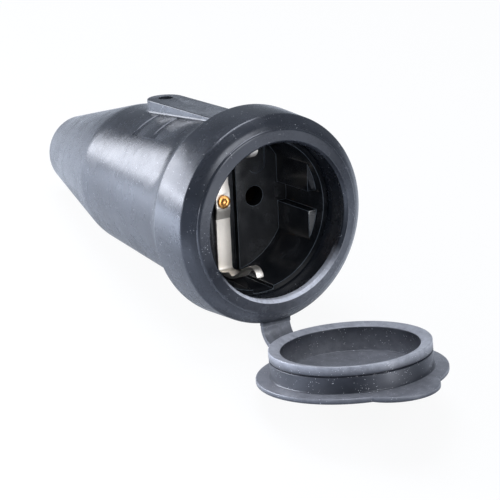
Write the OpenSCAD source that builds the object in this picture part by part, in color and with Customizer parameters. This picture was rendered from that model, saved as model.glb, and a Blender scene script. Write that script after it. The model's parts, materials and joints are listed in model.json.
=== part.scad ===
/* [Collar and mouth] */
// How much wider than the plug recess the sealing lip is
lip_out = 0.55; // [0.5:0.05:0.9]
// How much wider the mouth is at its front edge
lip_flare = 0.75; // [0.5:0.05:1]
// Width of the seat that the closed lid's flange sits in
seat_w = 3; // [2.6:0.1:3.4]
// How far the collar's rear edge stands out past the seat
collar_w = 3.9; // [3:0.1:6]
// How much smaller the collar's radius is at its front edge
collar_taper = 0.7; // [0.2:0.1:1.5]
// Distance of the collar's rear edge behind the mouth
collar_end = 15.7; // [13:0.1:18]
// How far the collar's outer front edge is set back from the mouth
rim_setback = 3.9; // [2.5:0.1:5]
// How far the seat falls back at its outer edge
seat_setback = 0.9; // [0.5:0.1:1.4]
// Depth of the step round the seat
seat_step = 0.5; // [0.2:0.1:0.8]
// Rounding of the seat's outer edge
seat_round = 0.9; // [0.4:0.1:1.2]
// How far outside the seat the front face gets steeper
knee_out = 1.1; // [0.6:0.1:1.6]
// How far that line is set back from the step's foot
knee_back = 0.6; // [0.4:0.1:0.9]
// Length of the lead into the lip
lip_lead = 1; // [0.6:0.1:1.4]
// Length of the sealing lip
lip_len = 1.6; // [1:0.1:2.4]
// How much wider than the insert the undercut behind the lip is
throat_gap = 0.8; // [0.5:0.1:1.5]

/* [Body and cone] */
// Wall of the body round the insert, carried forward to the collar's rear edge
front_wall = 2.8; // [2.4:0.1:3.5]
// Wall of the body where the cone begins
rear_wall = 1.6; // [1.4:0.1:2.5]
// Distance from the mouth to the start of the cone
body_end = 70; // [68:0.5:80]
// Radius of the rear end of the cone
tail_r = 10.3; // [9:0.1:12]
// Distance from the mouth to the rear end
tail_end = 110.5; // [104:0.5:125]
// Radius of the hollow shoulder between body and collar
shoulder_arc = 17; // [14:0.5:20]
// Rounding of the rear end's outer edge
tail_round = 1.2; // [0.6:0.1:2]
// Radius of the cable entry
entry_r = 5.2; // [4.5:0.1:6]
// Length of the cable entry
entry_len = 20; // [14:0.5:24]

/* [Tongue] */
// Height of the tongue's flat top above the body at its screw
tongue_rise = 2.75; // [2:0.05:3.5]
// Width of the tongue
tongue_w = 10.2; // [9:0.1:12]
// Radius of the screw hole in the tongue
tongue_hole_r = 2; // [1.9:0.05:2.4]
// Depth of the two shallow bands beside the tongue
band_depth = 0.35; // [0.2:0.05:0.5]
// Width of each shallow band
band_w = 2.6; // [1.5:0.1:3.5]

/* [Contact insert] */
// Distance from the mouth to the insert's front face
insert_y = 9.5; // [9:0.1:11]
// Radius of the plug recess
recess_r = 19.8; // [19.5:0.1:20]
// Wall of the insert round the plug recess
insert_wall = 1.4; // [1.2:0.1:1.6]
// Depth of the plug recess
recess_depth = 17.5; // [17:0.1:18]
// How far the two flats stand in from the recess's round wall
flat_in = 2.8; // [2.4:0.1:3.2]
// Depth from the insert's face to the ledges
ledge_depth = 3; // [2:0.1:5]
// Width of the guide groove in each flat
key_w = 5.3; // [4.5:0.1:6]
// Spacing of the two pin holes
pin_spacing = 19; // [18.8:0.1:19.2]
// Radius of the pin holes
pin_hole_r = 2.75; // [2.6:0.05:3]
// Thickness of the recess floor
floor_t = 4; // [3.6:0.1:4.4]
// Width of the channel that holds the earth bridge
channel_w = 7.8; // [7:0.1:8.6]
// Depth of that channel
channel_d = 1.8; // [1.6:0.1:2.2]
// Width of the slots for the two earth clips
slot_w = 6.2; // [5.9:0.1:7]
// Wall left outside the clip slots
slot_wall = 0.5; // [0.4:0.1:0.8]
// Radius of the round-ended hollow above the right pin hole
hollow_r = 2.7; // [2.4:0.1:2.9]
// Depth of that hollow
hollow_d = 0.4; // [0.2:0.1:0.6]

/* [Earth bridge] */
// Width of the strip
strip_w = 4.4; // [4:0.1:5.2]
// Thickness of the strip
strip_t = 0.8; // [0.6:0.1:1]
// Width of the spring clips at their tips
clip_w = 2.2; // [1.8:0.1:3.4]
// How far the clips' bulges stand in from the recess's round wall
clip_in = 5.1; // [4.5:0.1:5.6]
// Radius of the earth screw's head
earth_head_r = 1.8; // [1.6:0.1:2.1]

/* [Lid] */
// Gap round the closed flange in its seat
flange_gap = 0.45; // [0.3:0.05:0.9]
// Thickness of the flange
flange_t = 1.3; // [1:0.1:1.8]
// Height of the plug ring above the flange
ring_h = 6.8; // [5.5:0.1:7.5]
// Wall of the plug ring
ring_wall = 2.95; // [2.4:0.05:3.6]
// How far the ring's end face falls in towards its bore
ring_dish = 0.8; // [0.3:0.1:1.2]
// Height of the bead at the ring's free end
bead_h = 2.3; // [1.6:0.1:3]
// Depth of the groove below the bead
groove_d = 0.45; // [0.2:0.05:0.6]
// Width of that groove
groove_w = 0.45; // [0.3:0.05:0.8]
// Depth of the shallow recess in the cup's floor
cup_recess = 0.25; // [0.1:0.05:0.4]
// Radius of the finger tab's round edge
tab_arc_r = 10.6; // [9:0.1:12]
// How far the tab reaches past the flange
tab_reach = 4.45; // [3:0.05:5.5]

/* [Strap and hinge] */
// Width of the lid strap
strap_w = 8.6; // [7:0.1:10]
// Thickness of the lid strap
strap_t = 1.3; // [1:0.1:1.6]
// Distance from the mouth to the line that the lid turns about
hinge_y = 2.3; // [2.2:0.1:2.6]
// Drop from the collar's lower side to that line
hinge_drop = 3.1; // [2.8:0.1:3.5]
// Angle that the lid stands open
lid_open = 85.2; // [70:0.2:92]

/* [Terminals] */
// Room between the terminals and the wall round them
terminal_room = 3.2; // [2.8:0.1:3.3]
// Wall of the cover and of the rear half round the terminals
cover_wall = 2; // [1.6:0.1:2.1]
// Outer radius of a pin receptacle
receptacle_r = 3.3; // [3.1:0.1:3.5]
// Bore radius of a pin receptacle
receptacle_bore_r = 2.4; // [2.3:0.05:2.5]
// Length of the flared lead into a receptacle
receptacle_lead = 1.8; // [1:0.1:2.5]
// Length of a pin receptacle
receptacle_len = 16; // [15:0.5:17]
// Side of the square terminal blocks
block_w = 7; // [6.4:0.1:7.4]
// Length of a line terminal block
block_len = 8; // [7:0.5:9]
// Radius of the terminal screws
screw_r = 1.5; // [1.3:0.1:1.7]
// Radius of the terminal screws' heads
screw_head_r = 2.4; // [2.2:0.1:2.6]
// Radius of the wire holes
wire_r = 1.6; // [1.3:0.1:1.8]

/* [Hidden] */

// Smoothness of large turned faces, of small ones, and of arcs in outlines
fine = 128;
small = 48;
arc_steps = 14;
small_steps = 5;

// One overrun for every cut, the gap at a loose fit, and the gap of the closed lid
over = 0.5;
fit_gap = 0.2;
lid_gap = 0.3;

// Screws
head_h = 2.2;
slot_cut = 0.7;
slot_deep = 0.9;
thread_gap = 0.05;
wall_min = 0.8;
shank_below = block_w / 2 - wall_min;

// The strip's middle, where the screw holds it, is raised on a small boss
pad_rise = 0.5;
pad_half = 2.6;
pad_ramp = 2.2;
pad_boss_r = 2.4;

lip_r = recess_r + lip_out;
mouth_r = lip_r + lip_flare;
seat_r = mouth_r + seat_w;
collar_r = seat_r + collar_w;
rim_r = collar_r - collar_taper;
flange_r = seat_r - flange_gap;
ring_r = lip_r - lid_gap;
ring_bore_r = ring_r - ring_wall;
insert_r = recess_r + insert_wall;
flat_x = recess_r - flat_in;
clip_gap = 2 * (recess_r - clip_in);
rear_r = pin_spacing / 2 + block_w / 2 + terminal_room + cover_wall;
slot_r = insert_r - slot_wall;
base_y = insert_y + recess_depth;
carrier_end = base_y + floor_t;

// Lengths along the terminals
shelf_len = 8;
earth_block_len = 12;
wire_room = 7;
pocket_gap = fit_gap;
pocket_w = block_w + 2 * pocket_gap;
receptacle_y = carrier_end + fit_gap;
block_y = receptacle_y + receptacle_len;
tongue_screw_y = block_y + block_len;
drum_end = block_y - 2 * fit_gap;
cover_y = drum_end + fit_gap;
terminals_end = block_y + block_len + wire_room;

// Inside of the housing behind the insert
seat_bore_r = insert_r + fit_gap;
cavity_r = rear_r + 2 * fit_gap;
throat_r = insert_r + throat_gap;
body_front_r = seat_bore_r + front_wall;
body_rear_r = cavity_r + rear_wall;
tongue_top = body_r(tongue_screw_y) + tongue_rise;
cavity_end = terminals_end + fit_gap;
entry_start = tail_end - entry_len;
throat_ramp = 1;

// Strap path at rest, from the pad under the collar to the stub on the flange
stub_len = 0.8;
pad_z = -collar_r;
hinge_z = -(collar_r + hinge_drop);
strap_from = [rim_setback + strap_t / 2, pad_z];
strap_to = turned_point([-lid_gap - flange_t / 2, -(flange_r + stub_len)], lid_open);
strap_dir = [sin(lid_open), -cos(lid_open)];
strap_pull = 3.9;
strap_steps = 18;
strap_mid = [for (i = [0:strap_steps]) bezier(i / strap_steps)];
strap_low = [for (i = [0:strap_steps]) strap_mid[i] + strap_side(i) * strap_t / 2];
strap_up = [for (i = [0:strap_steps]) strap_mid[i] - strap_side(i) * strap_t / 2];

// The connector lies on the bend of its strap and on its rear end
lean = max([for (p = strap_low) atan2(-p[1] - tail_r, tail_end - p[0])]);

function turned_point(p, a) =
  let (d = p - [hinge_y, hinge_z])
  [hinge_y + d[0] * cos(a) - d[1] * sin(a), hinge_z + d[0] * sin(a) + d[1] * cos(a)];
function bezier(t) =
  let (a = strap_from, b = a - [0, strap_pull], d = strap_to, c = d + strap_dir * strap_pull)
  a * pow(1 - t, 3) + b * 3 * t * pow(1 - t, 2) + c * 3 * pow(t, 2) * (1 - t) + d * pow(t, 3);
function bezier_slope(t) =
  let (a = strap_from, b = a - [0, strap_pull], d = strap_to, c = d + strap_dir * strap_pull)
  (b - a) * pow(1 - t, 2) + (c - b) * 2 * t * (1 - t) + (d - c) * pow(t, 2);
function strap_side(i) = let (s = bezier_slope(i / strap_steps)) [-s[1], s[0]] / norm(s);
function arc(c, r, from, to, n) =
  [for (i = [0:n]) let (t = from + (to - from) * i / n) c + r * [cos(t), sin(t)]];

// Radius of the body's straight taper at a distance behind the mouth
function body_r(y) =
  body_front_r + (body_rear_r - body_front_r) * (y - collar_end) / (body_end - collar_end);

// Turns the modelled axis into the way the connector lies, with the origin at the lip's front edge
module lie() rotate([-lean, 0, 0]) translate([0, -lip_lead, 0]) children();

// A turned solid about the axis: points are radius and distance behind the mouth
module turned(outline, n = fine) rotate([-90, 0, 0]) rotate_extrude($fn = n) polygon(outline);

// A cylinder along the axis from one distance to another
module rod(r, from, to, x = 0, z = 0, n = small)
  translate([x, from, z]) rotate([-90, 0, 0]) cylinder(r = r, h = to - from, $fn = n);

// A cylinder that stands across the axis from one height to another
module post(r, from, to, x = 0, y = 0) translate([x, y, from]) cylinder(r = r, h = to - from, $fn = small);

// A block given by its low and high corners
module block(low, high) translate(low) cube(high - low);

// A square bar along the axis from one distance to another
module bar(w, from, to) block([-w / 2, from, -w / 2], [w / 2, to, w / 2]);

// Cuts the driver's slot in the top of a screw's head
module driver_slot(r, top)
  block([-r - over, -slot_cut / 2, top - slot_deep], [r + over, slot_cut / 2, top + over]);

// An outline in the plane of distance and height, made as wide as given
module ribbon(outline, w) translate([-w / 2, 0, 0]) rotate([90, 0, 90]) linear_extrude(w) polygon(outline);

// Puts a closed lid where it stands open
module at_lid()
  translate([0, hinge_y, hinge_z]) rotate([lid_open, 0, 0]) translate([0, -hinge_y, -hinge_z]) children();

// The concave shoulder runs from the collar's rear edge down to the body's taper
shoulder_share = 0.66;
shoulder_bend_share = 0.55;
shoulder_len = shoulder_share * shoulder_arc;
shoulder_foot = collar_end + shoulder_len;
shoulder_rise = collar_r - body_r(shoulder_foot);
function shoulder_bow(t) = 1 - sqrt(1 - pow(t, 2) * shoulder_bend_share);
function shoulder_at(t) =
  let (rise = shoulder_rise * shoulder_bow(1 - t) / shoulder_bow(1))
  [body_r(shoulder_foot) + rise, collar_end + shoulder_len * t];

// The seat's outer edge falls off round to the step's foot
step_foot = seat_setback + seat_step;
seat_edge_y = seat_setback * (seat_r - seat_round - mouth_r) / (seat_r - mouth_r);
seat_edge_steps = 4;
seat_edge = [for (i = [0:seat_edge_steps]) let (t = 90 * i / seat_edge_steps)
  [seat_r - seat_round * (1 - sin(t)), step_foot - (step_foot - seat_edge_y) * cos(t)]];

housing_outline = concat(
  [[0, -over], [mouth_r, -over], [mouth_r, 0]],
  seat_edge,
  [[seat_r + knee_out, step_foot + knee_back], [rim_r, rim_setback]],
  [for (i = [0:arc_steps]) shoulder_at(i / arc_steps)],
  [[body_rear_r, body_end]],
  arc([tail_r - tail_round, tail_end - tail_round], tail_round, 0, 90, small_steps),
  [[0, tail_end]]
);

housing_cavity = [
  [0, -2 * over], [mouth_r + over, -2 * over], [mouth_r, 0], [lip_r, lip_lead], [lip_r, lip_lead + lip_len],
  [throat_r, lip_lead + lip_len + throat_ramp], [throat_r, insert_y - over], [seat_bore_r, insert_y],
  [seat_bore_r, carrier_end], [cavity_r, carrier_end], [cavity_r, cavity_end],
  [entry_r + over, entry_start - over], [entry_r, entry_start], [entry_r, tail_end + over],
  [0, tail_end + over]
];

// The bands beside the tongue: where they begin and end round the body, in degrees, and how far apart
band_from = 12;
band_to = 44;
band_step = 10.2;
band_back = 6.2;
band_y = tongue_screw_y - band_back;

module tongue_plan() {
  translate([0, tongue_screw_y]) circle(r = tongue_w / 2, $fn = fine);
  translate([-tongue_w / 2, collar_end]) square([tongue_w, tongue_screw_y - collar_end]);
}

module band(y, side)
  rotate([0, side > 0 ? band_from : -band_to, 0])
    translate([0, y - band_w / 2, 0])
      rotate([-90, 0, 0]) rotate([0, 0, -90])
        rotate_extrude(angle = band_to - band_from, $fn = fine)
          polygon([
            [body_r(y - band_w / 2) - band_depth, 0], [body_r(y - band_w / 2) + over, 0],
            [body_r(y + band_w / 2) + over, band_w], [body_r(y + band_w / 2) - band_depth, band_w]
          ]);

// One rubber moulding: collar, body, cone, tongue and the pad that carries the strap
module housing() color([0.13, 0.135, 0.15]) lie() difference() {
  union() {
    turned(housing_outline);
    translate([0, 0, lip_r]) linear_extrude(tongue_top - lip_r) tongue_plan();
    block([-strap_w / 2, rim_setback, pad_z], [strap_w / 2, rim_setback + strap_t, -seat_r]);
  }
  turned(housing_cavity);
  post(tongue_hole_r, 0, tongue_top + over, 0, tongue_screw_y);
  for (side = [-1, 1]) {
    band(band_y, side);
    band(band_y - band_step, side);
  }
}

ring_end = ring_h - lid_gap;
bead_foot = ring_end - bead_h;
lid_outline = [
  [0, -lid_gap - flange_t], [flange_r, -lid_gap - flange_t], [flange_r, -lid_gap], [ring_r, -lid_gap],
  [ring_r, bead_foot - groove_w], [ring_r - groove_d, bead_foot - groove_w / 2], [ring_r, bead_foot],
  [ring_r, ring_end], [ring_bore_r, ring_end - ring_dish], [ring_bore_r, -lid_gap - cup_recess],
  [0, -lid_gap - cup_recess]
];
tab_mid = flange_r + tab_reach - tab_arc_r;

// One rubber moulding: flange, plug ring, finger tab and the stub that meets the strap
module lid() color([0.15, 0.155, 0.17]) lie() at_lid() {
  difference() {
    union() {
      turned(lid_outline);
      difference() {
        rod(tab_arc_r, -lid_gap - flange_t, -lid_gap, 0, tab_mid, fine);
        rod(ring_r - over, -lid_gap - flange_t - over, ring_end);
      }
      block([-strap_w / 2, -lid_gap - flange_t, -(flange_r + stub_len)], [strap_w / 2, -lid_gap, -ring_r]);
    }
    rod(ring_bore_r, -lid_gap - cup_recess, ring_end + over, 0, 0, fine);
  }
}

// A short rubber strap that bends when the lid turns
module lid_strap() color([0.14, 0.145, 0.16]) lie()
  ribbon(concat(strap_low, [for (i = [strap_steps:-1:0]) strap_up[i]]), strap_w);

module pins() for (side = [-1, 1]) translate([side * pin_spacing / 2, 0, 0]) children();

// Places of the screws that join the insert's halves, as shares of the rear half's radius
carrier_screw_shares = [0.385, 0.632];
carrier_screw_x = rear_r * carrier_screw_shares[0];
carrier_screw_z = rear_r * carrier_screw_shares[1];
thread_share = 0.6;
thread_depth = floor_t * thread_share;
pilot_depth = thread_depth + fit_gap;

// Place of the round-ended hollow, beside and above the right pin hole
hollow_side_share = 1.12;
hollow_rise_share = 3.22;
hollow_x = pin_spacing / 2 * hollow_side_share;
hollow_z = pin_hole_r * hollow_rise_share;

// The moulded front half, with the standard recess for an earthed plug
module contact_carrier() color([0.09, 0.095, 0.105]) lie() difference() {
  rod(insert_r, insert_y, carrier_end, 0, 0, fine);
  rod(recess_r, insert_y - over, insert_y + ledge_depth, 0, 0, fine);
  intersection() {
    rod(recess_r, insert_y, base_y, 0, 0, fine);
    union() {
      block([-flat_x, insert_y, -recess_r], [flat_x, base_y, recess_r]);
      block([-recess_r, insert_y, -key_w / 2], [recess_r, base_y, key_w / 2]);
    }
  }
  intersection() {
    rod(slot_r, insert_y - over, base_y + channel_d, 0, 0, fine);
    block([-slot_w / 2, insert_y - over, -slot_r], [slot_w / 2, base_y + channel_d, slot_r]);
  }
  difference() {
    intersection() {
      rod(slot_r, base_y - over, base_y + channel_d, 0, 0, fine);
      block([-channel_w / 2, base_y - over, -slot_r], [channel_w / 2, base_y + channel_d, slot_r]);
    }
    rod(pad_boss_r, base_y + channel_d - pad_rise, base_y + channel_d + over);
  }
  intersection() {
    rod(recess_r, base_y - over, base_y + hollow_d, 0, 0, fine);
    union() {
      rod(hollow_r, base_y - over, base_y + hollow_d, hollow_x, hollow_z);
      translate([hollow_x, 0, 0])
        block([-hollow_r, base_y - over, hollow_z], [hollow_r, base_y + hollow_d, recess_r]);
    }
  }
  pins() rod(pin_hole_r, base_y - over, carrier_end + over);
  rod(screw_r, base_y, carrier_end + over);
  for (side = [-1, 1])
    rod(screw_r, carrier_end - pilot_depth, carrier_end + over, side * carrier_screw_x, carrier_screw_z);
}

// The strip's path, as distance behind the mouth and height, from its middle down to a clip's fold
arm_y = base_y + channel_d - strip_t / 2;
pad_y = arm_y - pad_rise;
clip_back_gap = 0.9;
fold_r = 1.3;
fold_steps = 5;
clip_foot = 4.5;
clip_bulge = 13.4;
clip_tip = 15.8;
clip_top_z = clip_gap / 2 + strip_t / 2;
fold_z = slot_r - strip_t / 2 - clip_back_gap;
rise_y = base_y - clip_foot;
bulge_y = base_y - clip_bulge;
tip_y = base_y - clip_tip;
half_path = concat(
  [[pad_y, 0], [pad_y, pad_half], [arm_y, pad_half + pad_ramp]],
  arc([arm_y - fold_r, fold_z - fold_r], fold_r, 0, 90, fold_steps),
  [[rise_y, fold_z]]
);
// A clip rises from the wall to its bulge and turns down again at its tip
clip_rise = fold_z - clip_top_z;
tip_drop_share = 0.5;
rise_steps = 8;
tip_steps = 6;
clip_path = concat(
  [for (i = [0:rise_steps]) let (t = i / rise_steps)
    [rise_y + (bulge_y - rise_y) * t, fold_z - clip_rise * (1 - cos(180 * t)) / 2]],
  [for (i = [1:tip_steps]) let (t = 90 * i / tip_steps)
    [bulge_y + (tip_y - bulge_y) * sin(t), clip_top_z + clip_rise * tip_drop_share * (1 - cos(t))]]
);

function side_of(path, i) =
  let (a = path[max(i - 1, 0)], b = path[min(i + 1, len(path) - 1)], d = b - a) [-d[1], d[0]] / norm(d);
function band_of(path, t) = concat(
  [for (i = [0:len(path) - 1]) path[i] + side_of(path, i) * t / 2],
  [for (i = [len(path) - 1:-1:0]) path[i] - side_of(path, i) * t / 2]);

// A clip seen from the axis: as wide as the strip at its foot, narrower at its bulge and tip
module clip_plan()
  translate([0, 0, clip_gap / 2 - over]) linear_extrude(slot_r - clip_gap / 2 + over)
    polygon([
      [-strip_w / 2, rise_y + over], [strip_w / 2, rise_y + over], [strip_w / 2, rise_y],
      [clip_w / 2, bulge_y], [clip_w / 2, tip_y - over], [-clip_w / 2, tip_y - over],
      [-clip_w / 2, bulge_y], [-strip_w / 2, rise_y]
    ]);

// One folded strip: flat across the floor, with a spring clip at each end
module earth_bridge() color([0.72, 0.7, 0.66]) lie() difference() {
  for (up = [0, 1]) mirror([0, 0, up]) {
    ribbon(band_of(half_path, strip_t), strip_w);
    intersection() {
      ribbon(band_of(clip_path, strip_t), strip_w);
      clip_plan();
    }
  }
  rod(screw_r, base_y - over, carrier_end);
}

// A small brass screw in the middle of the strip
earth_seat_y = pad_y - strip_t / 2;
earth_head_h = 0.7;
socket_r = 0.85;
socket_share = 0.7;
earth_thread_end = receptacle_y + earth_block_len / 2;
module earth_screw() color([0.78, 0.6, 0.32]) lie() difference() {
  union() {
    rod(earth_head_r, earth_seat_y - earth_head_h, earth_seat_y);
    rod(screw_r - thread_gap, earth_seat_y, earth_thread_end);
  }
  translate([0, earth_seat_y - earth_head_h - over, 0]) rotate([-90, 0, 0])
    cylinder(r = socket_r, h = over + earth_head_h * socket_share, $fn = 6);
}

// A brass block behind the floor, which the earth screw and the earth wire share
earth_clamp_share = 0.74;
earth_clamp_y = receptacle_y + earth_block_len * earth_clamp_share;
module earth_terminal() color([0.76, 0.6, 0.34]) lie() difference() {
  bar(block_w, receptacle_y, receptacle_y + earth_block_len);
  rod(screw_r, receptacle_y - over, earth_thread_end + fit_gap);
  rod(wire_r, earth_thread_end + wall_min, receptacle_y + earth_block_len + over);
  post(screw_r, 0, block_w, 0, earth_clamp_y);
}

// A slotted screw pointing down, whose head rests on a terminal block
module terminal_screw(x, y) translate([x, y, 0]) difference() {
  union() {
    post(screw_head_r, block_w / 2, block_w / 2 + head_h);
    post(screw_r - thread_gap, block_w / 2 - shank_below, block_w / 2 + over);
  }
  driver_slot(screw_head_r, block_w / 2 + head_h);
}
module earth_terminal_screw() color([0.7, 0.7, 0.72]) lie() terminal_screw(0, earth_clamp_y);

// A split brass tube that grips a pin, with a tail that seats on its block
slit_w = 0.8;
slit_end = 2;
module receptacle(side) lie() translate([side * pin_spacing / 2, 0, 0]) difference() {
  rod(receptacle_r, receptacle_y, block_y);
  rod(receptacle_bore_r, receptacle_y - over, block_y - wall_min);
  translate([0, receptacle_y, 0]) rotate([-90, 0, 0])
    cylinder(r1 = pin_hole_r + fit_gap, r2 = receptacle_bore_r, h = receptacle_lead, $fn = small);
  block([-slit_w / 2, receptacle_y - over, 0], [slit_w / 2, block_y - slit_end, receptacle_r + over]);
}
module live_contact() color([0.8, 0.66, 0.38]) receptacle(1);
module neutral_contact() color([0.8, 0.66, 0.38]) receptacle(-1);

wire_stop = 2.4;
module line_terminal(side) lie() translate([side * pin_spacing / 2, 0, 0]) difference() {
  bar(block_w, block_y, block_y + block_len);
  rod(wire_r, block_y + wire_stop, block_y + block_len + over);
  post(screw_r, 0, block_w, 0, block_y + block_len / 2);
}
module line_screw(side) lie() terminal_screw(side * pin_spacing / 2, block_y + block_len / 2);
module live_terminal() color([0.76, 0.6, 0.34]) line_terminal(1);
module neutral_terminal() color([0.76, 0.6, 0.34]) line_terminal(-1);
module live_terminal_screw() color([0.7, 0.7, 0.72]) line_screw(1);
module neutral_terminal_screw() color([0.7, 0.7, 0.72]) line_screw(-1);

// The moulded rear half: a drum in front, an open tray behind it and a shelf for the cord clamp
clamp_y = terminals_end + shelf_len / 2;
shelf_share = 0.571;
shelf_x = rear_r * shelf_share;
clamp_edge = 2.8;
clamp_x = shelf_x - clamp_edge;
shelf_t = 3.2;
shelf_share_down = 0.55;
shelf_top = -entry_r * shelf_share_down;
screw_seat_y = drum_end - head_h - over;
module terminal_base() color([0.12, 0.125, 0.135]) lie() difference() {
  union() {
    rod(rear_r, carrier_end, drum_end, 0, 0, fine);
    intersection() {
      rod(rear_r, drum_end, terminals_end, 0, 0, fine);
      block([-rear_r, drum_end - over, -rear_r], [rear_r, terminals_end, 0]);
    }
    block([-shelf_x, drum_end, shelf_top - shelf_t], [shelf_x, terminals_end + shelf_len, shelf_top]);
  }
  pins() {
    rod(receptacle_r + pocket_gap, carrier_end - over, block_y);
    block([-pocket_w / 2, block_y - pocket_gap, -pocket_w / 2],
          [pocket_w / 2, block_y + block_len + pocket_gap, rear_r]);
    rod(wire_r + pocket_gap, block_y, terminals_end + over);
  }
  block([-pocket_w / 2, carrier_end - over, -pocket_w / 2],
        [pocket_w / 2, receptacle_y + earth_block_len + pocket_gap, block_w / 2 + pocket_gap]);
  post(screw_head_r + pocket_gap, 0, rear_r + over, 0, earth_clamp_y);
  rod(wire_r + pocket_gap, carrier_end, terminals_end + over);
  rod(entry_r + pocket_gap, block_y + block_len + 2 * pocket_gap, terminals_end + shelf_len + over);
  for (side = [-1, 1]) {
    rod(screw_r, carrier_end - over, drum_end, side * carrier_screw_x, carrier_screw_z);
    rod(screw_head_r + pocket_gap, screw_seat_y, drum_end + over, side * carrier_screw_x, carrier_screw_z);
    post(screw_r, -rear_r, 0, side * clamp_x, clamp_y);
  }
}

// The screws that hold the insert's two halves together
module carrier_screw(side)
  color([0.7, 0.7, 0.72]) lie() translate([side * carrier_screw_x, 0, carrier_screw_z]) difference() {
    union() {
      rod(screw_head_r, screw_seat_y, screw_seat_y + head_h);
      rod(screw_r - thread_gap, carrier_end - thread_depth, screw_seat_y);
    }
    block([-screw_head_r - over, screw_seat_y + head_h - slot_deep, -slot_cut / 2],
          [screw_head_r + over, screw_seat_y + head_h + over, slot_cut / 2]);
  }
module carrier_screw_left() carrier_screw(-1);
module carrier_screw_right() carrier_screw(1);

// A half shell over the terminals, with a boss that holds the nut of the housing's screw
boss_half = 4.5;
boss_h = 7.2;
boss_low = rear_r - boss_h;
boss_floor = 1.4;
nut_w = 5.6;
nut_h = 2.5;
nut_room = nut_w + pocket_gap;
nut_z = boss_low + boss_floor;
module terminal_cover() color([0.12, 0.125, 0.135]) lie() difference() {
  intersection() {
    rod(rear_r, cover_y, terminals_end, 0, 0, fine);
    block([-rear_r, cover_y, fit_gap / 4], [rear_r, terminals_end, rear_r]);
    union() {
      difference() {
        rod(rear_r + over, cover_y, terminals_end, 0, 0, fine);
        rod(rear_r - cover_wall, cover_y - over, terminals_end - cover_wall, 0, 0, fine);
      }
      translate([0, tongue_screw_y, 0])
        block([-boss_half, -boss_half, boss_low], [boss_half, boss_half, rear_r]);
    }
  }
  rod(entry_r + pocket_gap, terminals_end - cover_wall - over, terminals_end + over);
  post(tongue_hole_r, 0, rear_r + over, 0, tongue_screw_y);
  translate([0, tongue_screw_y, nut_z])
    block([-nut_room / 2, -nut_room / 2, 0], [nut_room / 2, boss_half + over, nut_h + pocket_gap / 2]);
}
module housing_nut() color([0.72, 0.7, 0.66]) lie() translate([0, tongue_screw_y, 0]) difference() {
  block([-nut_w / 2, -nut_w / 2, nut_z], [nut_w / 2, nut_w / 2, nut_z + nut_h]);
  post(screw_r, nut_z - over, nut_z + nut_h + over);
}

// The countersunk place of this screw's head shows in the tongue
sink = 1.1;
screw_top = tongue_top - sink;
plain_head_h = 3;
module housing_screw() color([0.66, 0.66, 0.68]) lie() translate([0, tongue_screw_y, 0]) difference() {
  union() {
    post(tongue_hole_r - thread_gap, screw_top - plain_head_h, screw_top);
    post(screw_r - thread_gap, boss_low, screw_top - plain_head_h + over);
  }
  driver_slot(tongue_hole_r, screw_top);
}

// A bar that presses the cord onto the shelf, with its two screws
saddle_share = 0.75;
saddle_low = entry_r * saddle_share;
saddle_t = 2.6;
saddle_w = 5.6;
saddle_top = saddle_low + saddle_t;
module clamp_saddle() color([0.16, 0.165, 0.175]) lie() difference() {
  block([-shelf_x, clamp_y - saddle_w / 2, saddle_low], [shelf_x, clamp_y + saddle_w / 2, saddle_top]);
  for (side = [-1, 1]) post(screw_r + thread_gap, 0, rear_r, side * clamp_x, clamp_y);
}
module clamp_screw(side)
  color([0.7, 0.7, 0.72]) lie() translate([side * clamp_x, clamp_y, 0]) difference() {
    union() {
      post(screw_head_r, saddle_top, saddle_top + head_h);
      post(screw_r - thread_gap, shelf_top - shelf_t, saddle_top + over);
    }
    driver_slot(screw_head_r, saddle_top + head_h);
  }
module clamp_screw_left() clamp_screw(-1);
module clamp_screw_right() clamp_screw(1);

housing();
lid();
lid_strap();
contact_carrier();
terminal_base();
terminal_cover();
earth_bridge();
earth_screw();
earth_terminal();
earth_terminal_screw();
live_contact();
neutral_contact();
live_terminal();
neutral_terminal();
live_terminal_screw();
neutral_terminal_screw();
carrier_screw_left();
carrier_screw_right();
clamp_saddle();
clamp_screw_left();
clamp_screw_right();
housing_screw();
housing_nut();
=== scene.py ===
"""Dresses a rubber inline socket with its hinged lid, a black insert and a nickel earth strip."""

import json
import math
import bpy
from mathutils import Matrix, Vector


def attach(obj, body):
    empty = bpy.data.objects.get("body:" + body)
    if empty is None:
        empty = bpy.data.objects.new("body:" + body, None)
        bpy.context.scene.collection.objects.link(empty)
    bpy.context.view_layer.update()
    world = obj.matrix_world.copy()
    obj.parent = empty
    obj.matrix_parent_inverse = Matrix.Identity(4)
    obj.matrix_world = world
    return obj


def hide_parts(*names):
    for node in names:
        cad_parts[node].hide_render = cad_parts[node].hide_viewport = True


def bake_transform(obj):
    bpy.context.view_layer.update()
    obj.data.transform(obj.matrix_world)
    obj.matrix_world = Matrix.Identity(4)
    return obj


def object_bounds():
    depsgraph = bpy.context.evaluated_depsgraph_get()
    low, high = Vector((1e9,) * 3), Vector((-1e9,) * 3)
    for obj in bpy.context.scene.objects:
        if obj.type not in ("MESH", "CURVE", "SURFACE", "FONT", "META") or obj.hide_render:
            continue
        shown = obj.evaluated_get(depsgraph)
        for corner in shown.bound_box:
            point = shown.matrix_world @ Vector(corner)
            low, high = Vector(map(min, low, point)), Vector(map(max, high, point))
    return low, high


bl_info = {
    "name": "Inline Socket Connector",
    "version": (1, 0, 0),
    "blender": (4, 5, 0),
    "location": "View3D > Sidebar > Socket",
    "description": "Makes the housing, lid, strap, insert and metal pieces of an inline socket",
    "category": "Add Mesh",
}

import bmesh
import bpy
from mathutils import Matrix, Vector

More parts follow.
